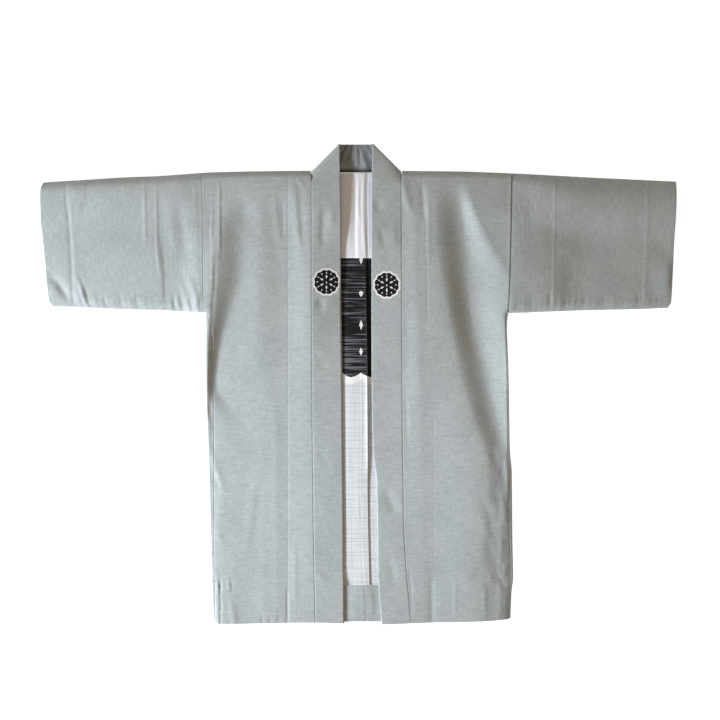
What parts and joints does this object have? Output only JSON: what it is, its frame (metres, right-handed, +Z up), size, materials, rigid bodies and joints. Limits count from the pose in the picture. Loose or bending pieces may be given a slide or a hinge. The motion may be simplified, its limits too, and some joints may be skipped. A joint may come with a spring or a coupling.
{
  "type": "happi coat",
  "caption": "open-fronted cotton festival coat with wide square sleeves and a flat band collar, laid out flat on its back",
  "frame": {"origin": "middle of the coat's outline, on the surface that it lies on", "axes": "+X runs across the coat to the wearer's left cuff, +Y runs from the hem to the collar, +Z is up, out of the fronts"},
  "size_m": [1.2399, 0.9372, 0.0108],
  "materials": {
    "grey_cotton": "matt slub cotton, grey-green, off-white on its reverse",
    "white_cotton": "matt plain white cotton"
  },
  "bodies": {
    "root": {"right_body": "grey_cotton", "left_body": "grey_cotton", "right_sleeve": "grey_cotton", "left_sleeve": "grey_cotton", "collar": "grey_cotton", "shoulder_patch": "white_cotton"}
  },
  "joints": []
}
